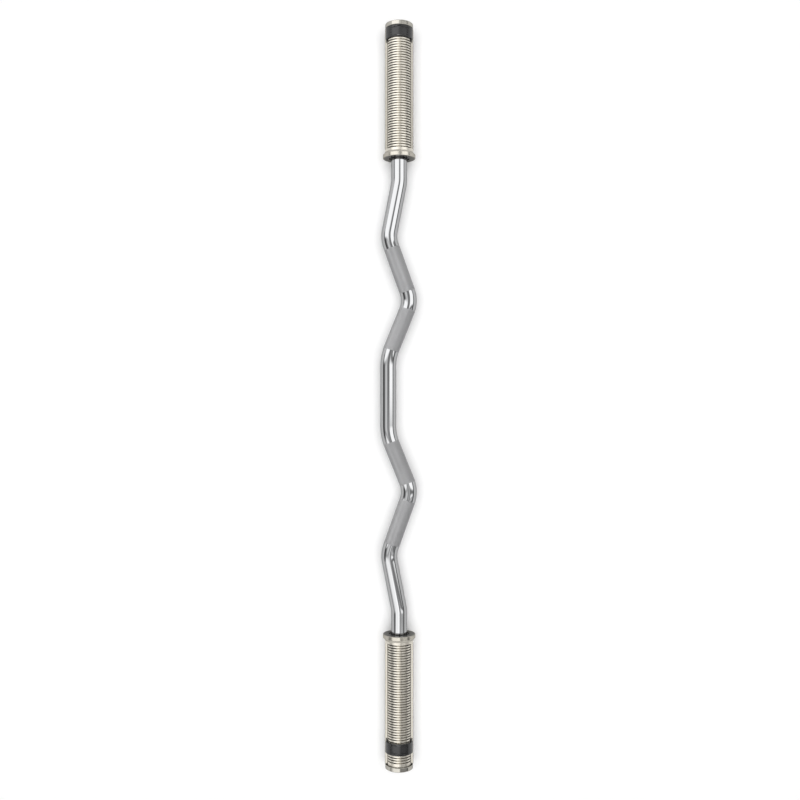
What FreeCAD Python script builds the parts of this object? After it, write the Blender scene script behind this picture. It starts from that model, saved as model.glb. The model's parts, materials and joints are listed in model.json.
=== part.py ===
import FreeCAD, Part
import math
import os

from FreeCAD import Vector

# EZ curl bar with turning sleeves and flush flip-up plate locks, in millimetres.
# X runs along the bar, its bends lie level in Y and Z points up. The origin is on the floor under
# the middle of the bar, which lies on its two flanges.
# One end is drawn on its own axis: u is the distance from the bar's middle, y is across and z is up
# from the sleeve's axis. The left end is the right end's mirror image.

# Shaft: a bent round bar, with a thinner spindle inside each sleeve
shaft_diameter = 28.0
centre_bend_at = 68.9
centre_bend_offset = 19.2
centre_bend_radius = 90.0
inner_bend_at = 167.1
inner_bend_offset = -20.4
inner_bend_radius = 50.0
outer_bend_at = 277.3
outer_bend_offset = 19.0
outer_bend_radius = 50.0
neck_bend_at = 375.0
neck_bend_radius = 65.0
spindle_diameter = 25.0
spindle_tail = 2.6

# Flange collar, pressed on the sleeve's inner end
flange_face_at = 417.0
flange_rise = 3.5
flange_rim = 6.5
flange_step = 0.5
flange_edge = 0.8
flange_taper = 4.0
collar_wall = 4.0

# Shaft seal, set back in the collar
seal_recess = 1.4
seal_thickness = 1.6
seal_lip = 0.5
seal_lip_depth = 1.0
seal_play = 0.05

# Sleeve: a tube with a grooved rack above and below and a flat on each side
sleeve_diameter = 50.0
neck_length = 4.5
rack_drop = 3.6
flat_drop = 1.4
groove_depth = 1.7
groove_width = 1.9
groove_pitch = 4.43
groove_count = 47
groove_lead = 2.2
rack_tail = 7.2
grease_gap = 2.0

# Bushings, thrust washer and retaining ring
bushing_wall = 3.46
bushing_length = 40.0
bushing_flange_rise = 2.0
bushing_flange_thickness = 1.5
spindle_play = 0.04
thrust_play = 0.1
washer_rim_gap = 0.5
washer_thickness = 2.0
ring_rise = 2.3
ring_thickness = 1.4
ring_groove_depth = 0.9
ring_gap = 4.0

# Side rails, screwed to raised seats on the sleeve's flats
rail_height = 10.0
rail_hook_room = 2.0
rail_seat_rise = 1.5
rail_end_gap = 2.0
rail_edge = 0.5
screw_count = 4
screw_diameter = 3.0
screw_head_diameter = 5.2
screw_head_sink = 0.2
screw_depth = 3.9
screw_socket_width = 2.0
screw_socket_depth = 1.0
screw_end_distance = 16.0

# End cap
cap_drop = 0.5
cap_length = 7.8
cap_edge_radius = 1.8
cap_chamfer = 0.6
cap_rim_width = 5.5
cap_dish_depth = 1.0
cap_face_thickness = 5.0
cap_spigot_length = 8.5
cap_spigot_wall = 5.0
cap_spindle_gap = 1.0

# Plate lock: an upper and a lower half band that slide along the rails
band_drop = 0.5
band_length = 20.4
band_edge = 0.7
lock_play = 0.3
hook_thickness = 1.0
hook_play = 0.25
foot_length = 4.2
foot_height = 3.2
left_lock_inset = 20.3

# Flip-up wing in the band's window, on a cross pin near the outboard edge
window_width = 28.6
window_front_bar = 1.8
window_back_bar = 2.0
wing_play = 0.3
wing_lift = 0.35
wing_stop_play = 0.1
pin_diameter = 1.5
pin_play = 0.03
knuckle_width = 6.4
knuckle_radius = 1.25
knuckle_sink = 0.25
lug_width = 1.8
lug_radius = 1.3
spring_width = 8.0
spring_thickness = 0.3

# Radii and stations that follow from the sizes above
shaft_radius = shaft_diameter / 2
spindle_radius = spindle_diameter / 2
bushing_bore_radius = spindle_radius + spindle_play
bushing_radius = bushing_bore_radius + bushing_wall
bushing_flange_radius = bushing_radius + bushing_flange_rise
washer_radius = bushing_radius - washer_rim_gap
ring_groove_radius = spindle_radius - ring_groove_depth
ring_radius = spindle_radius + ring_rise
sleeve_radius = sleeve_diameter / 2
flange_radius = sleeve_radius + flange_rise
axis_height = flange_radius
collar_seat_radius = sleeve_radius - collar_wall
rack_radius = sleeve_radius - rack_drop
flat_at = rack_radius - flat_drop
rail_inside = flat_at + rail_seat_rise
rail_seat_half = rail_height / 2 - rail_hook_room
cap_radius = sleeve_radius - cap_drop
cap_spigot_bore_radius = bushing_radius - cap_spigot_wall

seal_at = flange_face_at + seal_recess
shoulder_at = seal_at + seal_thickness
bushing_at = shoulder_at + thrust_play
sleeve_at = bushing_at + bushing_flange_thickness
neck_at = flange_face_at + flange_rim + flange_taper
rack_at = neck_at + neck_length
first_groove_at = rack_at + groove_lead
sleeve_end = first_groove_at + (groove_count - 1) * groove_pitch + rack_tail
bar_end = sleeve_end + cap_length
rail_end = sleeve_end - rail_end_gap

spigot_at = sleeve_end - cap_spigot_length
spindle_end = spigot_at - cap_spindle_gap
ring_end = spindle_end - spindle_tail
ring_at = ring_end - ring_thickness
washer_end = ring_at - thrust_play
washer_at = washer_end - washer_thickness
outer_bushing_end = washer_at - thrust_play
outer_bushing_at = outer_bushing_end - bushing_length
inner_bushing_end = sleeve_at + bushing_length

band_radius = sleeve_radius - band_drop
band_bore = rack_radius + lock_play
band_bottom = rail_height / 2 + lock_play
hook_inside = flat_at + hook_play
hook_bottom = rail_seat_half + lock_play
wing_bore = band_bore + wing_lift
pin_height = band_radius - knuckle_radius - knuckle_sink
pin_to_band_end = window_back_bar + wing_stop_play + band_radius - pin_height


def revolved(points):
    """A solid turned about the sleeve's axis from an outline of (u, radius) points."""
    outline = [Vector(u, radius, 0) for u, radius in points]
    face = Part.Face(Part.makePolygon(outline + outline[:1]))
    return face.revolve(Vector(0, 0, 0), Vector(1, 0, 0), 360)


def block(u_low, u_high, y_low, y_high, z_low, z_high):
    """A box given by its limits."""
    corner = Vector(u_low, y_low, z_low)
    return Part.makeBox(u_high - u_low, y_high - y_low, z_high - z_low, corner)


def cross_rod(radius, y_low, y_high, u, z):
    """A round rod that lies across the sleeve."""
    return Part.makeCylinder(radius, y_high - y_low, Vector(u, y_low, z), Vector(0, 1, 0))


def tube(inner_radius, outer_radius, u_low, u_high):
    return revolved([
        (u_low, inner_radius),
        (u_low, outer_radius),
        (u_high, outer_radius),
        (u_high, inner_radius),
    ])


def half_turned(shape):
    """The same shape on the opposite side of the sleeve's axis."""
    copy = shape.copy()
    copy.rotate(Vector(0, 0, 0), Vector(1, 0, 0), 180)
    return copy


def bent_path(points, radii):
    """Straight runs through the points, with a tangent arc at each inner point."""
    edges = []
    start = points[0]
    for before, corner, after, radius in zip(points, points[1:], points[2:], radii):
        backward = (before - corner).normalize()
        forward = (after - corner).normalize()
        half_turn = (math.pi - backward.getAngle(forward)) / 2
        setback = radius * math.tan(half_turn)
        inward = (backward + forward).normalize()
        arc_start = corner + backward * setback
        arc_middle = corner + inward * (radius / math.cos(half_turn) - radius)
        arc_end = corner + forward * setback
        edges.append(Part.LineSegment(start, arc_start).toShape())
        edges.append(Part.Arc(arc_start, arc_middle, arc_end).toShape())
        start = arc_end
    edges.append(Part.LineSegment(start, points[-1]).toShape())
    return Part.Wire(edges)


def make_spindle():
    return revolved([
        (shoulder_at, 0),
        (shoulder_at, spindle_radius),
        (ring_at, spindle_radius),
        (ring_at, ring_groove_radius),
        (ring_end, ring_groove_radius),
        (ring_end, spindle_radius),
        (spindle_end, spindle_radius),
        (spindle_end, 0),
    ])


def make_shaft():
    """The bent bar, the same on both halves, with a spindle at each end."""
    half = [
        (centre_bend_at, centre_bend_offset, centre_bend_radius),
        (inner_bend_at, inner_bend_offset, inner_bend_radius),
        (outer_bend_at, outer_bend_offset, outer_bend_radius),
        (neck_bend_at, 0, neck_bend_radius),
    ]
    bends = [(-x, y, radius) for x, y, radius in reversed(half)] + half
    points = [Vector(x, y, 0) for x, y, _ in bends]
    left_end = Vector(-shoulder_at, 0, 0)
    right_end = Vector(shoulder_at, 0, 0)
    path = bent_path([left_end] + points + [right_end], [radius for _, _, radius in bends])
    section = Part.Wire(Part.makeCircle(shaft_radius, left_end, Vector(1, 0, 0)))
    bar = path.makePipeShell([section], True, False)
    spindle = make_spindle()
    other_spindle = spindle.mirror(Vector(0, 0, 0), Vector(1, 0, 0))
    return bar.fuse([spindle, other_spindle]).removeSplitter()


def make_collar():
    rim_end = flange_face_at + flange_rim
    return revolved([
        (flange_face_at, bushing_flange_radius),
        (flange_face_at, flange_radius - flange_edge),
        (flange_face_at + flange_edge, flange_radius),
        (rim_end, flange_radius),
        (rim_end, flange_radius - flange_step),
        (neck_at, sleeve_radius),
        (neck_at, collar_seat_radius),
        (sleeve_at, collar_seat_radius),
        (sleeve_at, bushing_flange_radius),
    ])


def make_seal():
    lip_radius = shaft_radius + seal_play
    return revolved([
        (seal_at, bushing_flange_radius),
        (seal_at, lip_radius + seal_lip_depth),
        (seal_at + seal_lip, lip_radius),
        (shoulder_at, lip_radius),
        (shoulder_at, bushing_flange_radius),
    ])


def make_inner_bushing():
    return revolved([
        (bushing_at, bushing_bore_radius),
        (bushing_at, bushing_flange_radius),
        (sleeve_at, bushing_flange_radius),
        (sleeve_at, bushing_radius),
        (inner_bushing_end, bushing_radius),
        (inner_bushing_end, bushing_bore_radius),
    ])


def make_retaining_ring():
    """A snap ring that stands in the spindle's groove, open at the top."""
    ring = tube(ring_groove_radius, ring_radius, ring_at, ring_end)
    opening = block(ring_at, ring_end, -ring_gap / 2, ring_gap / 2, 0, ring_radius)
    return ring.cut(opening)


def screw_stations():
    first = rack_at + screw_end_distance
    last = rail_end - screw_end_distance
    step = (last - first) / (screw_count - 1)
    return [first + step * place for place in range(screw_count)]


def screw_body(station, head_top):
    """A countersunk screw in the rear rail, or the hole for it when the head top lies further out."""
    head_radius = screw_head_diameter / 2
    shank_radius = screw_diameter / 2
    head_at = sleeve_radius - screw_edge_drop() - screw_head_sink
    neck = head_at - (head_radius - shank_radius)
    tip = rail_inside - screw_depth
    outline = [
        Vector(0, tip, 0),
        Vector(shank_radius, tip, 0),
        Vector(shank_radius, neck, 0),
        Vector(head_radius, head_at, 0),
    ]
    if head_top > head_at:
        outline.append(Vector(head_radius, head_top, 0))
    outline.append(Vector(0, max(head_top, head_at), 0))
    face = Part.Face(Part.makePolygon(outline + outline[:1]))
    body = face.revolve(Vector(0, 0, 0), Vector(0, 1, 0), 360)
    body.translate(Vector(station, 0, 0))
    return body


def screw_edge_drop():
    """How far the rail's round face falls away at the edge of a screw head."""
    head_radius = screw_head_diameter / 2
    return sleeve_radius - math.sqrt(sleeve_radius ** 2 - head_radius ** 2)


def make_screw(station):
    head_at = sleeve_radius - screw_edge_drop() - screw_head_sink
    corner_radius = screw_socket_width / math.sqrt(3)
    corners = []
    for corner in range(7):
        angle = math.radians(60 * corner)
        across = Vector(math.cos(angle), 0, math.sin(angle)) * corner_radius
        corners.append(Vector(station, head_at - screw_socket_depth, 0) + across)
    socket = Part.Face(Part.makePolygon(corners)).extrude(Vector(0, screw_socket_depth, 0))
    return screw_body(station, head_at).cut(socket)


def make_sleeve():
    """The tube with its rings of grooves, then the flats and rail seats on both sides."""
    root_radius = rack_radius - groove_depth
    outline = [
        (sleeve_at, bushing_radius),
        (sleeve_at, collar_seat_radius),
        (neck_at, collar_seat_radius),
        (neck_at, sleeve_radius),
        (rack_at, sleeve_radius),
        (rack_at, rack_radius),
    ]
    for groove in range(groove_count):
        middle = first_groove_at + groove * groove_pitch
        outline.append((middle - groove_width / 2, rack_radius))
        outline.append((middle, root_radius))
        outline.append((middle + groove_width / 2, rack_radius))
    outline += [
        (sleeve_end, rack_radius),
        (sleeve_end, bushing_radius),
        (outer_bushing_at, bushing_radius),
        (outer_bushing_at, spindle_radius + grease_gap),
        (inner_bushing_end, spindle_radius + grease_gap),
        (inner_bushing_end, bushing_radius),
    ]
    flat = block(rack_at, sleeve_end, flat_at, sleeve_radius, -sleeve_radius, sleeve_radius)
    seat = block(rack_at, rail_end, flat_at, rail_inside, -rail_seat_half, rail_seat_half)
    holes = [screw_body(station, sleeve_radius) for station in screw_stations()]
    sleeve = revolved(outline).cut([flat, half_turned(flat)])
    sleeve = sleeve.fuse([seat, half_turned(seat)])
    return sleeve.cut(holes + [half_turned(hole) for hole in holes])


def make_rail():
    """The rear rail: a strip with a flat back, a round face on the sleeve's diameter and screw holes."""
    half = rail_height / 2
    strip = block(rack_at, rail_end, rail_inside, sleeve_radius, -half, half)
    rail = strip.common(Part.makeCylinder(sleeve_radius, rail_end, Vector(0, 0, 0), Vector(1, 0, 0)))
    long_edges = []
    for edge in rail.Edges:
        box = edge.BoundBox
        at_side = abs(abs(box.Center.z) - half) < rail_edge / 2
        if box.XLength > rail_height and at_side and box.YMin > rail_inside + rail_edge:
            long_edges.append(edge)
    rail = rail.makeChamfer(rail_edge, long_edges)
    return rail.cut([screw_body(station, sleeve_radius) for station in screw_stations()])


def make_rail_screws():
    screws = [make_screw(station) for station in screw_stations()]
    return Part.makeCompound(screws + [half_turned(screw) for screw in screws])


def make_end_cap():
    """A cap with a rounded rim, a shallow dished face and a hollow spigot that fits in the sleeve."""
    dish_radius = cap_radius - cap_rim_width
    dish_at = bar_end - cap_dish_depth
    cap = revolved([
        (spigot_at, cap_spigot_bore_radius),
        (spigot_at, bushing_radius - cap_chamfer),
        (spigot_at + cap_chamfer, bushing_radius),
        (sleeve_end, bushing_radius),
        (sleeve_end, cap_radius - cap_chamfer),
        (sleeve_end + cap_chamfer, cap_radius),
        (bar_end, cap_radius),
        (bar_end, dish_radius),
        (dish_at, dish_radius - cap_dish_depth),
        (dish_at, 0),
        (dish_at - cap_face_thickness, 0),
        (dish_at - cap_face_thickness, cap_spigot_bore_radius),
    ])
    rim = []
    for edge in cap.Edges:
        box = edge.BoundBox
        if box.XMin > bar_end - cap_dish_depth / 2 and box.YLength > 2 * (cap_radius - cap_chamfer):
            rim.append(edge)
    return cap.makeFillet(cap_edge_radius, rim)


def make_band(band_at):
    """The upper half band before its window is cut, with hooks behind the rails and a foot over each."""
    band_end = band_at + band_length
    foot_at = band_at - foot_length
    foot_top = band_bottom + foot_height
    above = block(band_at, band_end, -band_radius, band_radius, band_bottom, band_radius)
    ring = revolved([
        (band_at, band_bore),
        (band_at, band_radius - band_edge),
        (band_at + band_edge, band_radius),
        (band_end - band_edge, band_radius),
        (band_end, band_radius - band_edge),
        (band_end, band_bore),
    ])
    flank = tube(band_bore, band_radius - band_edge, foot_at, band_end)
    foot = flank.common(block(foot_at, band_end, rail_inside, band_radius, band_bottom, foot_top))
    far_foot = flank.common(block(foot_at, band_end, -band_radius, -rail_inside, band_bottom, foot_top))
    hook_outside = hook_inside + hook_thickness
    hook_top = math.sqrt(band_bore ** 2 - hook_inside ** 2)
    hook = block(band_at, band_end, hook_inside, hook_outside, hook_bottom, hook_top)
    far_hook = block(band_at, band_end, -hook_outside, -hook_inside, hook_bottom, hook_top)
    return ring.common(above).fuse([foot, far_foot, hook, far_hook])


def make_saddle(band_at):
    """The half band with the wing's window, the hinge slot and the two lugs that hold the wing's pin."""
    band_end = band_at + band_length
    pin_at = band_end - pin_to_band_end
    window_at = band_at + window_front_bar
    window_end = band_end - window_back_bar
    hinge_at = pin_at - lug_radius + wing_play
    half_window = window_width / 2
    half_hinge = knuckle_width / 2 + wing_play
    window = block(window_at, hinge_at, -half_window, half_window, 0, band_radius)
    hinge_slot = block(hinge_at, window_end, -half_hinge, half_hinge, 0, band_radius)
    lugs = []
    for low in (half_hinge, -half_hinge - lug_width):
        high = low + lug_width
        nose = cross_rod(lug_radius, low, high, pin_at, pin_height)
        root = block(
            pin_at, window_end, low, high, pin_height - lug_radius, pin_height + lug_radius
        )
        lugs.append(nose.fuse(root).common(tube(band_bore, band_radius, band_at, band_end)))
    saddle = make_band(band_at).cut([window, hinge_slot]).fuse(lugs)
    return saddle.cut(cross_rod(pin_diameter / 2, -band_radius, band_radius, pin_at, pin_height))


def make_pin(band_at):
    pin_at = band_at + band_length - pin_to_band_end
    end = knuckle_width / 2 + wing_play + lug_width
    return cross_rod(pin_diameter / 2, -end, end, pin_at, pin_height)


def make_wing(band_at):
    """A curved flap with a knuckle on the pin. Its free edge is round about the pin."""
    pin_at = band_at + band_length - pin_to_band_end
    edge_at = band_at + window_front_bar + spring_thickness + wing_play
    half_width = window_width / 2 - wing_play
    half_knuckle = knuckle_width / 2
    root_radius = lug_radius + wing_play
    curve = tube(wing_bore, band_radius, edge_at, pin_at)
    flap = curve.common(block(edge_at, pin_at - root_radius, -half_width, half_width, 0, band_radius))
    flap = flap.common(cross_rod(pin_at - edge_at, -half_width, half_width, pin_at, pin_height))
    flap = flap.cut(cross_rod(root_radius, -half_width, half_width, pin_at, pin_height))
    web = curve.common(
        block(pin_at - 2 * root_radius, pin_at, -half_knuckle, half_knuckle, 0, band_radius)
    )
    knuckle = cross_rod(knuckle_radius, -half_knuckle, half_knuckle, pin_at, pin_height)
    hole = cross_rod(
        pin_diameter / 2 + pin_play, -band_radius, band_radius, pin_at, pin_height
    )
    return flap.fuse([web, knuckle]).cut(hole).removeSplitter()


def make_latch_spring(band_at):
    """A leaf on the window's front bar that bears on the wing's free edge."""
    spring_at = band_at + window_front_bar
    leaf = block(
        spring_at, spring_at + spring_thickness, -spring_width / 2, spring_width / 2, 0, band_radius
    )
    return leaf.common(tube(band_bore, band_radius - spring_thickness, band_at, spring_at + band_length))


def make_end(lock_inset):
    """All pieces of one end of the bar, by name, with its lock that far inboard of the end cap."""
    band_at = sleeve_end - lock_play - band_length - lock_inset
    rail = make_rail()
    pieces = {
        "flange_collar": make_collar(),
        "shaft_seal": make_seal(),
        "inner_bushing": make_inner_bushing(),
        "outer_bushing": tube(
            bushing_bore_radius, bushing_radius, outer_bushing_at, outer_bushing_end
        ),
        "thrust_washer": tube(bushing_bore_radius, washer_radius, washer_at, washer_end),
        "retaining_ring": make_retaining_ring(),
        "sleeve": make_sleeve(),
        "rear_rail": rail,
        "front_rail": half_turned(rail),
        "rail_screws": make_rail_screws(),
        "end_cap": make_end_cap(),
    }
    lock = {
        "saddle": make_saddle(band_at),
        "wing": make_wing(band_at),
        "wing_pin": make_pin(band_at),
        "latch_spring": make_latch_spring(band_at),
    }
    for name, piece in lock.items():
        pieces["upper_" + name] = piece
        pieces["lower_" + name] = half_turned(piece)
    return pieces


def write_node(name, shape):
    shape.translate(Vector(0, 0, axis_height))
    shape.exportStep(os.path.join("parts", name + ".step"))


os.makedirs("parts", exist_ok=True)
write_node("shaft", make_shaft())
for name, piece in make_end(0).items():
    write_node("right_" + name, piece)
for name, piece in make_end(left_lock_inset).items():
    write_node("left_" + name, piece.mirror(Vector(0, 0, 0), Vector(1, 0, 0)))
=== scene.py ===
import json
import math

import bpy
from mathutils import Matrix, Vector


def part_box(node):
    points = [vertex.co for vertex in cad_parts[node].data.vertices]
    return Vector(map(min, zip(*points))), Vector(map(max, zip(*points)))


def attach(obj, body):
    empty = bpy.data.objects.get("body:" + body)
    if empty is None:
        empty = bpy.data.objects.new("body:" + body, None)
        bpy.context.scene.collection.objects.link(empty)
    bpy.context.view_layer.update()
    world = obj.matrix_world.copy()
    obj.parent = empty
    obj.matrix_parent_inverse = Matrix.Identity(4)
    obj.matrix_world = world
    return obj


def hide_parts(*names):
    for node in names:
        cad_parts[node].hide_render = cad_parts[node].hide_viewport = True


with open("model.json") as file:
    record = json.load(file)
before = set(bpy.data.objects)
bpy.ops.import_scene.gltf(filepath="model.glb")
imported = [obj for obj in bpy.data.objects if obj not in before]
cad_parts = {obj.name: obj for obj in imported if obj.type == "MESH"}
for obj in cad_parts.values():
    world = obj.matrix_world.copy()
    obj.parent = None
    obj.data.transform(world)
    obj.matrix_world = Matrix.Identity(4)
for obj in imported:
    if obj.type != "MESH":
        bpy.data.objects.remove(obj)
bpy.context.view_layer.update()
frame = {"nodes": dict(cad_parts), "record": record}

# Looks of the curl bar, in metres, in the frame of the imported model: X along the bar, Z up,
# the middle grip at +Y.

scene = bpy.context.scene

# Camera, straight above the bar
axis_height = 0.0285
camera_distance = 1.67
camera_x = -0.0067
camera_y = -0.0015
sensor_width = 36.0
focal_length = 42.75

# Shaft, the same run as in the solids. A bend is its corner's X and Y and its radius.
shaft_radius = 0.014
shaft_bends = (
    (0.0689, 0.0192, 0.090),
    (0.1671, -0.0204, 0.050),
    (0.2773, 0.0190, 0.050),
    (0.3750, 0.0, 0.065),
)
shoulder_at = 0.420
spindle_radius = 0.0125
spindle_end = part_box("shaft")[1][0]
ring_groove_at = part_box("right_retaining_ring")[0][0]
ring_groove_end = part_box("right_retaining_ring")[1][0]
ring_groove_radius = 0.0116
spindle_chamfer = 0.0008
arc_step = math.radians(2.0)
least_step = 0.0001

# Knurled grips: where each one starts and ends along X, and its diamonds
knurl_zones = ((0.0807, 0.1527), (0.1834, 0.2600))
knurl_diamonds_round = 48
segments_round = 2 * knurl_diamonds_round
knurl_helix = math.radians(30.0)
knurl_root_radius = 0.01392
knurl_top_radius = 0.01412
knurl_flat_share = 0.30

# Places of the shaft's two finishes
polished = 0
knurled = 1

# Painted shade in the grooves of the sleeve's rack: by the distance from the axis, then a painted
# highlight along the crown, partly lifted next to the rails, and partly lifted as a painted lighter
# side at -Y
rack_radius = 0.0214
groove_dark_radius = 0.0210
crown_bright = 0.0022
crown_dark = 0.0068
flank_dark = 0.0186
flank_bright = 0.0194
flank_share = 0.35
lighter_side_share = 0.65
lighter_side_bright = 0.0115
lighter_side_dark = 0.0155

# Studio
floor_size = 12.0
floor_colour = 0.86
floor_glow = 0.15
overhead_strength = math.pi
overhead_spread = math.radians(66.0)
room_level = 0.38
horizon_level = 1.0
horizon_low = 0.13
horizon_high = 0.20
horizon_rise = 0.30

# Softboxes overhead and two dark flags, in degrees from straight up: from and to across the bar,
# the softness of those edges, from and to along the bar, the softness of those edges, brightness
softboxes = (
    (-64, -11, 5, 6.5, 60, 3, 1.81),
    (-11, -1, 4, 11, 60, 3.5, 1.72),
    (-82, -64, 5, 16, 60, 3, 0.5),
    (-1, 15, 4, 16, 60, 4, 0.68),
    (-51, 6, 5, -20, -9.5, 3, 1.62),
    (-51, 6, 5, -60, -20, 3, 1.25),
    (-9, 6, 4, -19, -9.5, 3, 0.45),
    (-66, -51, 5, -60, -16, 3, 0.8),
    (-43, -13, 5, -7, 5, 3, 0.83),
    (-3, 16, 5, -9, -1.5, 2.5, 0.44),
    (19, 67, 5, -1.5, 16, 2.5, 1.81),
    (17, 65, 5, 16, 20.5, 2.5, 1.81),
    (17, 59, 6, -17.5, -12.5, 2, 0.6),
    (25, 59, 6, -11.5, -7.5, 1.5, 1.5),
    (-80, -56, 5, -14, 5.5, 3, -0.26),
    (66, 82, 5, -28, 13, 3, -0.26),
)

# Colours and grain that several finishes share
nickel_colour = (0.460, 0.436, 0.384)
rack_colour = (0.62, 0.588, 0.520)
cap_colour = (0.44, 0.424, 0.382)
# painted shade for the faces that look to the middle of the bar, standing for a dark reflection
painted_inboard_shade = (0.18, 0.174, 0.160)
nickel_grain = 2600.0
nickel_edge = 0.55
patch_scale = 38.0
speck_scale = 420.0
drawn_stretch = (0.02, 1.0, 1.0)
bump_strength = 0.5

# Detail and roughness of the noises. A mix of two is used from this low to this high, and the
# share is that of the first of the two.
fine_noise = (4.0, 0.6)
patch_noise = (3.0, 0.5)
speck_noise = (2.0, 0.5)
noise_low = 0.3
noise_high = 0.7
fine_share = 0.6
patch_share = 0.7

# How far a normal points outward along the bar, for the painted inboard shade: a face is wholly
# inboard up to the first of these, and not at all from the second
inboard_full = -0.95
inboard_none = -0.6


def add(tree, kind, settings=None, inputs=None):
    """A shader node with its settings and inputs. An input that is a socket is linked."""
    made = tree.nodes.new(kind)
    for name, value in (settings or {}).items():
        setattr(made, name, value)
    for name, value in (inputs or {}).items():
        if isinstance(value, bpy.types.NodeSocket):
            tree.links.new(value, made.inputs[name])
        else:
            made.inputs[name].default_value = value
    return made


def arithmetic(tree, operation, first, second=0.0):
    return add(tree, "ShaderNodeMath", {"operation": operation}, {0: first, 1: second}).outputs[0]


def ramp(tree, value, low, high, to_low, to_high, curve="LINEAR"):
    """A value that goes from to_low to to_high while the input goes from low to high."""
    settings = {"interpolation_type": curve}
    inputs = {
        "Value": value,
        "From Min": low,
        "From Max": high,
        "To Min": to_low,
        "To Max": to_high,
    }
    return add(tree, "ShaderNodeMapRange", settings, inputs).outputs["Result"]


def band(tree, value, low, high, soft):
    """One inside a range, nought outside it, with soft edges."""
    rise = ramp(tree, value, low - soft, low + soft, 0.0, 1.0, "SMOOTHSTEP")
    fall = ramp(tree, value, high - soft, high + soft, 1.0, 0.0, "SMOOTHSTEP")
    return arithmetic(tree, "MULTIPLY", rise, fall)


def make_camera():
    data = bpy.data.cameras.new("camera")
    data.sensor_width = sensor_width
    data.lens = focal_length
    camera = bpy.data.objects.new("camera", data)
    camera.location = (camera_x, camera_y, axis_height + camera_distance)
    camera.rotation_euler = (0, 0, -math.pi / 2)
    scene.collection.objects.link(camera)
    scene.camera = camera


def make_world():
    """A plain studio for mirrors: pale at the horizon, dim above it, with softboxes.

    The pale part rises toward the ends of the bar.
    """
    world = bpy.data.worlds.new("studio")
    scene.world = world
    world.use_nodes = True
    world.cycles_visibility.diffuse = False
    tree = world.node_tree
    tree.nodes.clear()
    direction = add(tree, "ShaderNodeTexCoord").outputs["Generated"]
    parts = add(tree, "ShaderNodeSeparateXYZ", None, {0: direction}).outputs
    opposite = arithmetic(tree, "MULTIPLY", parts["Y"], -1.0)
    across = arithmetic(tree, "ARCTAN2", opposite, parts["Z"])
    along = arithmetic(tree, "ARCSINE", parts["X"])
    rise = arithmetic(tree, "MULTIPLY", arithmetic(tree, "POWER", parts["X"], 2.0), horizon_rise)
    height = arithmetic(tree, "SUBTRACT", parts["Z"], rise)
    level = ramp(tree, height, horizon_low, horizon_high, horizon_level, room_level, "SMOOTHSTEP")
    for low, high, soft, near, far, soft_end, bright in softboxes:
        wide = band(tree, across, math.radians(low), math.radians(high), math.radians(soft))
        long = band(tree, along, math.radians(near), math.radians(far), math.radians(soft_end))
        patch = arithmetic(tree, "MULTIPLY", wide, long)
        glow = arithmetic(tree, "MULTIPLY", patch, bright)
        level = arithmetic(tree, "ADD", level, glow)
    background = add(tree, "ShaderNodeBackground", None, {"Color": (1, 1, 1, 1), "Strength": level})
    output = add(tree, "ShaderNodeOutputWorld")
    tree.links.new(background.outputs[0], output.inputs["Surface"])


def make_overhead_light():
    """A wide soft light from straight above, for the matt surfaces and the shadow on the floor."""
    data = bpy.data.lights.new("overhead", "SUN")
    data.energy = overhead_strength
    data.angle = overhead_spread
    lamp = bpy.data.objects.new("overhead", data)
    lamp.location = (0, 0, camera_distance)
    lamp.visible_glossy = False
    scene.collection.objects.link(lamp)


def make_floor():
    """A white floor. It glows a little for the camera and for mirrors, and keeps the shadow."""
    half = floor_size / 2
    corners = [(-half, -half, 0), (half, -half, 0), (half, half, 0), (-half, half, 0)]
    mesh = bpy.data.meshes.new("floor")
    mesh.from_pydata(corners, [], [(0, 1, 2, 3)])
    floor = bpy.data.objects.new("floor", mesh)
    scene.collection.objects.link(floor)
    material = bpy.data.materials.new("floor")
    material.use_nodes = True
    tree = material.node_tree
    tree.nodes.clear()
    path = add(tree, "ShaderNodeLightPath").outputs
    seen = arithmetic(tree, "MAXIMUM", path["Is Camera Ray"], path["Is Glossy Ray"])
    seen = arithmetic(tree, "MAXIMUM", seen, path["Is Transmission Ray"])
    strength = arithmetic(tree, "MULTIPLY", seen, floor_glow)
    grey = (floor_colour, floor_colour, floor_colour, 1)
    diffuse = add(tree, "ShaderNodeBsdfDiffuse", None, {"Color": grey})
    glow = add(tree, "ShaderNodeEmission", None, {"Strength": strength})
    both = add(tree, "ShaderNodeAddShader")
    output = add(tree, "ShaderNodeOutputMaterial")
    tree.links.new(diffuse.outputs[0], both.inputs[0])
    tree.links.new(glow.outputs[0], both.inputs[1])
    tree.links.new(both.outputs[0], output.inputs["Surface"])
    mesh.materials.append(material)


def noise(tree, vector, scale, detail, roughness):
    inputs = {"Vector": vector, "Scale": scale, "Detail": detail, "Roughness": roughness}
    return add(tree, "ShaderNodeTexNoise", None, inputs).outputs["Fac"]


def blend(tree, first, second, share):
    """The first value by its share and the second by the rest."""
    return arithmetic(tree, "ADD", arithmetic(tree, "MULTIPLY", first, share),
                      arithmetic(tree, "MULTIPLY", second, 1 - share))


def part(tree, vector, axis):
    return add(tree, "ShaderNodeSeparateXYZ", None, {0: vector}).outputs[axis]


def turned_coordinates(tree, position):
    """X and the distance from the bar's axis, so that lines run round the bar."""
    parts = add(tree, "ShaderNodeSeparateXYZ", None, {0: position}).outputs
    height = arithmetic(tree, "SUBTRACT", parts["Z"], axis_height)
    square = arithmetic(tree, "ADD", arithmetic(tree, "MULTIPLY", parts["Y"], parts["Y"]),
                        arithmetic(tree, "MULTIPLY", height, height))
    radius = arithmetic(tree, "SQRT", square)
    return add(tree, "ShaderNodeCombineXYZ", None, {"X": parts["X"], "Y": radius}).outputs[0]


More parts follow.
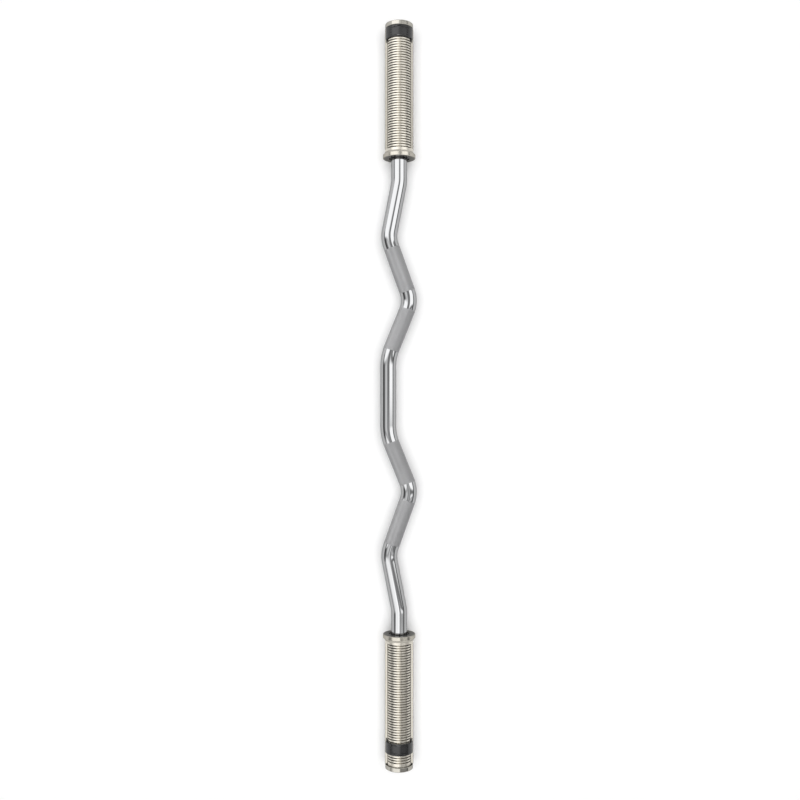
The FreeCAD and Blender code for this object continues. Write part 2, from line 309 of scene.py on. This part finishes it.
def mixed_colour(tree, factor, first, second):
    inputs = {"Factor": factor, 6: first, 7: second}
    return add(tree, "ShaderNodeMix", {"data_type": "RGBA"}, inputs).outputs[2]


def make_finish(name, colour, low_rough, high_rough, *, grain_scale, grain_depth, shade, grain="even",
                metallic=1.0, specular=0.5, root_shade=None, inboard_shade=None, inboard_rough=0.0,
                edge_tint=1.0):
    """A finish with fine grain in its bump and roughness, and slow changes of colour.

    A root shade is painted shade in the bottoms of the rack's grooves, left out along its crown for a
    painted highlight, and less on the side at -Y, which is painted lighter.
    An inboard shade is painted shade on faces that look to the middle of the bar, which are faced
    smooth.
    An edge tint below one makes the finish darker where it is seen at a grazing angle.
    """
    material = bpy.data.materials.new(name)
    material.use_nodes = True
    tree = material.node_tree
    tree.nodes.clear()
    coordinates = add(tree, "ShaderNodeTexCoord").outputs
    position = coordinates["Object"]
    if grain == "turned":
        vector = turned_coordinates(tree, position)
    elif grain == "drawn":
        inputs = {0: position, 1: drawn_stretch}
        vector = add(tree, "ShaderNodeVectorMath", {"operation": "MULTIPLY"}, inputs).outputs[0]
    else:
        vector = position
    fine = noise(tree, vector, grain_scale, *fine_noise)
    patches = noise(tree, position, patch_scale, *patch_noise)
    specks = noise(tree, position, speck_scale, *speck_noise)
    mixed = blend(tree, fine, patches, fine_share)
    rough = ramp(tree, mixed, noise_low, noise_high, low_rough, high_rough)
    tone = blend(tree, patches, specks, patch_share)
    tint = ramp(tree, tone, noise_low, noise_high, 0.0, 1.0)
    dark = [channel * (1 - shade) for channel in colour]
    light = [min(1.0, channel * (1 + shade)) for channel in colour]
    base = mixed_colour(tree, tint, (*dark, 1), (*light, 1))
    # painted groove shade, with a painted crown highlight and a painted lighter side at -Y
    if root_shade:
        radius = part(tree, turned_coordinates(tree, position), "Y")
        crest = ramp(tree, radius, groove_dark_radius, rack_radius, 0.0, 1.0, "SMOOTHSTEP")
        across = part(tree, position, "Y")
        sideways = arithmetic(tree, "ABSOLUTE", across)
        crown_highlight = ramp(tree, sideways, crown_bright, crown_dark, 1.0, 0.0, "SMOOTHSTEP")
        lighter_side = ramp(tree, across, -crown_bright, crown_bright, lighter_side_share, 0.0, "SMOOTHSTEP")
        fade = ramp(tree, sideways, lighter_side_bright, lighter_side_dark, 1.0, 0.0, "SMOOTHSTEP")
        crown_highlight = arithmetic(tree, "MAXIMUM", crown_highlight, arithmetic(tree, "MULTIPLY", lighter_side, fade))
        flank = ramp(tree, sideways, flank_dark, flank_bright, 0.0, flank_share, "SMOOTHSTEP")
        crest = arithmetic(tree, "MAXIMUM", arithmetic(tree, "MAXIMUM", crest, crown_highlight), flank)
        base = mixed_colour(tree, crest, (*root_shade, 1), base)
    # painted shade on the faces that look to the middle of the bar
    if inboard_shade:
        facing = part(tree, coordinates["Normal"], "X")
        side = arithmetic(tree, "SIGN", part(tree, position, "X"))
        outward = arithmetic(tree, "MULTIPLY", facing, side)
        plain = ramp(tree, outward, inboard_full, inboard_none, 0.0, 1.0, "SMOOTHSTEP")
        base = mixed_colour(tree, plain, (*inboard_shade, 1), base)
        rough = ramp(tree, plain, 0.0, 1.0, inboard_rough, rough)
    inputs = {"Strength": bump_strength, "Distance": grain_depth, "Height": fine}
    bump = add(tree, "ShaderNodeBump", None, inputs)
    shader = add(tree, "ShaderNodeBsdfPrincipled", None, {
        "Base Color": base,
        "Metallic": metallic,
        "Roughness": rough,
        "Specular IOR Level": specular,
        "Specular Tint": (edge_tint, edge_tint, edge_tint, 1),
        "Normal": bump.outputs[0],
    })
    output = add(tree, "ShaderNodeOutputMaterial")
    tree.links.new(shader.outputs[0], output.inputs["Surface"])
    return material


chrome = make_finish("polished_chrome", (0.42, 0.423, 0.428), 0.03, 0.07, grain_scale=2200.0,
                     grain_depth=0.0000004, shade=0.02, edge_tint=0.38)
knurl_chrome = make_finish("knurled_chrome", (0.33, 0.33, 0.335), 0.34, 0.44, grain_scale=3000.0,
                           grain_depth=0.000004, shade=0.05)
nickel_turned = make_finish("turned_nickel", nickel_colour, 0.18, 0.26, grain="turned",
                            grain_scale=nickel_grain, grain_depth=0.000014, shade=0.05,
                            inboard_shade=painted_inboard_shade, inboard_rough=0.05, edge_tint=nickel_edge)
nickel_cap = make_finish("cap_nickel", cap_colour, 0.10, 0.16, grain="turned",
                         grain_scale=nickel_grain, grain_depth=0.000014, shade=0.05,
                         inboard_shade=painted_inboard_shade, inboard_rough=0.05, edge_tint=nickel_edge)
# the rack's root shade is painted shade in its groove bottoms
nickel_rack = make_finish("rack_nickel", rack_colour, 0.26, 0.36, grain="turned",
                          grain_scale=nickel_grain, grain_depth=0.000006, shade=0.05,
                          root_shade=(0.028, 0.024, 0.018))
nickel_drawn = make_finish("drawn_nickel", nickel_colour, 0.18, 0.28, grain="drawn",
                           grain_scale=nickel_grain, grain_depth=0.000006, shade=0.05,
                           edge_tint=nickel_edge)
satin_black = make_finish("satin_black", (0.009, 0.009, 0.0095), 0.24, 0.32, metallic=0.0,
                          grain_scale=2400.0, grain_depth=0.00003, shade=0.18, specular=0.57)
bright_steel = make_finish("bright_steel", (0.46, 0.46, 0.468), 0.20, 0.32, grain_scale=1800.0,
                           grain_depth=0.000006, shade=0.06)
black_steel = make_finish("black_oxide_steel", (0.05, 0.05, 0.052), 0.30, 0.42, grain_scale=1800.0,
                          grain_depth=0.000006, shade=0.12)
bronze = make_finish("sintered_bronze", (0.60, 0.42, 0.22), 0.30, 0.48, grain_scale=2200.0,
                     grain_depth=0.00002, shade=0.12)
rubber = make_finish("black_rubber", (0.075, 0.075, 0.075), 0.62, 0.82, metallic=0.0,
                     grain_scale=1600.0, grain_depth=0.00004, shade=0.15)


def dress_nodes():
    """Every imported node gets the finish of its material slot, or a closer one of the same kind."""
    finishes = {
        "shaft_chrome": chrome,
        "nickel": nickel_turned,
        "lock_black": satin_black,
        "steel": bright_steel,
        "bronze": bronze,
        "rubber": rubber,
    }
    for subpart in frame["record"]["subparts"]:
        name = subpart["node"]
        finish = finishes[subpart["material_slot"]]
        if name.endswith("_rail"):
            finish = nickel_drawn
        if name in ("left_sleeve", "right_sleeve"):
            finish = nickel_rack
        if name.endswith("_end_cap"):
            finish = nickel_cap
        if name.endswith("_wing_pin"):
            finish = black_steel
        for place in frame["nodes"][name].material_slots:
            place.material = finish


def rotated(vector, angle):
    cosine, sine = math.cos(angle), math.sin(angle)
    return Vector((vector.x * cosine - vector.y * sine, vector.x * sine + vector.y * cosine))


def shaft_path():
    """Points along the bar's middle line with their directions, from left shoulder to right."""
    bends = [(-x, y, radius) for x, y, radius in reversed(shaft_bends)] + list(shaft_bends)
    corners = [Vector((-shoulder_at, 0))]
    corners += [Vector((x, y)) for x, y, _ in bends]
    corners.append(Vector((shoulder_at, 0)))
    path = [(corners[0], Vector((1, 0)))]
    for before, corner, after, bend in zip(corners, corners[1:], corners[2:], bends):
        into = (corner - before).normalized()
        out = (after - corner).normalized()
        turn = into.angle_signed(out)
        radius = bend[2]
        start = corner - into * radius * math.tan(abs(turn) / 2)
        steps = max(2, math.ceil(abs(turn) / arc_step))
        side = Vector((-into.y, into.x)) * (-1 if turn > 0 else 1)
        middle = start + side * radius
        for step in range(steps + 1):
            angle = -turn * step / steps
            path.append((middle + rotated(start - middle, angle), rotated(into, angle)))
    path.append((corners[-1], Vector((1, 0))))
    return path


class Route:
    """The bar's middle line by the distance along it."""

    def __init__(self, path):
        self.path = path
        self.along = [0.0]
        for (first, _), (second, _) in zip(path, path[1:]):
            self.along.append(self.along[-1] + (second - first).length)

    def at(self, distance):
        last = len(self.along) - 2
        for index in range(last + 1):
            if distance <= self.along[index + 1] or index == last:
                span = self.along[index + 1] - self.along[index]
                share = (distance - self.along[index]) / span
                (place, heading), (place_two, heading_two) = self.path[index:index + 2]
                return place.lerp(place_two, share), heading.lerp(heading_two, share).normalized()

    def where_x(self, x):
        for index in range(len(self.along) - 1):
            low, high = self.path[index][0].x, self.path[index + 1][0].x
            if low <= x <= high:
                span = self.along[index + 1] - self.along[index]
                return self.along[index] + span * (x - low) / (high - low)


class Surface:
    """Points and faces of one mesh, gathered piece by piece."""

    def __init__(self):
        self.points = []
        self.faces = []
        self.smooth = []
        self.finish = []

    def face(self, corners, smooth, finish):
        self.faces.append(corners)
        self.smooth.append(smooth)
        self.finish.append(finish)

    def ring(self, place, heading, radius, count):
        """A circle square to the bar. Its first point is on top."""
        across = Vector((-heading.y, heading.x, 0))
        first = len(self.points)
        for index in range(count):
            angle = 2 * math.pi * index / count
            offset = across * math.sin(angle) * radius
            self.points.append((
                place.x + offset.x, place.y + offset.y, axis_height + math.cos(angle) * radius,
            ))
        return [first + index for index in range(count)]

    def join(self, one, two, smooth=True):
        """A strip from one circle to the next along +X, facing out."""
        count = len(one)
        for index in range(count):
            after = (index + 1) % count
            self.face((one[index], two[index], two[after], one[after]), smooth, polished)

    def build(self, name, materials):
        mesh = bpy.data.meshes.new(name)
        mesh.from_pydata(self.points, [], self.faces)
        mesh.polygons.foreach_set("use_smooth", self.smooth)
        mesh.polygons.foreach_set("material_index", self.finish)
        for material in materials:
            mesh.materials.append(material)
        mesh.update()
        piece = bpy.data.objects.new(name, mesh)
        scene.collection.objects.link(piece)
        return piece


def knurl(surface, route, start, end):
    """A band of raised diamonds with flat tops between two places along the bar."""
    columns = 2 * knurl_diamonds_round
    half_width = math.pi * shaft_radius / knurl_diamonds_round
    rows = 2 * round((end - start) * math.tan(knurl_helix) / half_width / 2)
    step = (end - start) / rows
    frames = [route.at(start + step * row) for row in range(rows + 1)]

    def point(row, column, radius):
        low = max(0, min(rows - 1, math.floor(row)))
        place = frames[low][0].lerp(frames[low + 1][0], row - low)
        heading = frames[low][1].lerp(frames[low + 1][1], row - low).normalized()
        angle = 2 * math.pi * column / columns
        across = math.sin(angle) * radius
        return (
            place.x - heading.y * across,
            place.y + heading.x * across,
            axis_height + math.cos(angle) * radius,
        )

    corners = {}
    for row in range(rows + 1):
        for column in range(row % 2, columns, 2):
            corners[row, column] = len(surface.points)
            surface.points.append(point(row, column, knurl_root_radius))
    for row in range(rows + 1):
        for column in range((row + 1) % 2, columns, 2):
            left = corners[row, (column - 1) % columns]
            right = corners[row, (column + 1) % columns]
            if row == 0:
                surface.face((right, left, corners[1, column]), False, knurled)
                continue
            if row == rows:
                surface.face((left, right, corners[rows - 1, column]), False, knurled)
                continue
            base = (left, corners[row - 1, column], right, corners[row + 1, column])
            share = knurl_flat_share
            spots = (
                (row, column - share),
                (row - share, column),
                (row, column + share),
                (row + share, column),
            )
            top = []
            for spot in spots:
                top.append(len(surface.points))
                surface.points.append(point(*spot, knurl_top_radius))
            surface.face(tuple(reversed(top)), False, knurled)
            for index in range(4):
                after = (index + 1) % 4
                surface.face((base[after], base[index], top[index], top[after]), False, knurled)
    return [[corners[row, column] for column in range(0, columns, 2)] for row in (0, rows)]


def knurl_step(surface, outer, roots, at_start):
    """The narrow face where the bar steps down to the knurl's roots, which are half as many."""
    for index, root in enumerate(roots):
        after = roots[(index + 1) % len(roots)]
        first, middle, last = (outer[(2 * index + step) % len(outer)] for step in range(3))
        for corners in ((first, root, middle), (middle, root, after), (middle, after, last)):
            surface.face(corners if at_start else corners[::-1], False, polished)


def make_shaft():
    """The bent bar with its knurled grips and the spindles inside the sleeves."""
    route = Route(shaft_path())
    surface = Surface()
    zones = [(-high, -low) for low, high in reversed(knurl_zones)] + list(knurl_zones)
    stops = [(route.where_x(low), route.where_x(high)) for low, high in zones]
    start = 0.0
    runs = []
    for low, high in stops:
        runs.append((start, low))
        roots = knurl(surface, route, low, high)
        for distance, row in zip((low, high), roots):
            outer = surface.ring(*route.at(distance), shaft_radius, segments_round)
            knurl_step(surface, outer, row, distance == low)
        start = high
    runs.append((start, route.along[-1]))
    for low, high in runs:
        between = [
            distance for distance in route.along
            if low + least_step < distance < high - least_step
        ]
        rings = []
        for distance in [low] + between + [high]:
            place, heading = route.at(distance)
            rings.append(surface.ring(place, heading, shaft_radius, segments_round))
        for one, two in zip(rings, rings[1:]):
            surface.join(one, two)
    for side in (-1, 1):
        profile = (
            (shoulder_at, shaft_radius),
            (shoulder_at, spindle_radius),
            (ring_groove_at, spindle_radius),
            (ring_groove_at, ring_groove_radius),
            (ring_groove_end, ring_groove_radius),
            (ring_groove_end, spindle_radius),
            (spindle_end - spindle_chamfer, spindle_radius),
            (spindle_end, spindle_radius - spindle_chamfer),
        )
        ahead = Vector((1, 0))
        for (x_one, radius_one), (x_two, radius_two) in zip(profile, profile[1:]):
            one = surface.ring(Vector((side * x_one, 0)), ahead, radius_one, segments_round)
            two = surface.ring(Vector((side * x_two, 0)), ahead, radius_two, segments_round)
            smooth = radius_one == radius_two
            if side > 0:
                surface.join(one, two, smooth)
            else:
                surface.join(two, one, smooth)
        surface.face(tuple(reversed(two) if side > 0 else two), False, polished)
    shaft = surface.build("shaft_bar", [chrome, knurl_chrome])
    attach(shaft, "shaft")
    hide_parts("shaft")


make_camera()
make_world()
make_overhead_light()
make_floor()
dress_nodes()
make_shaft()

scene.view_settings.view_transform = "Standard"
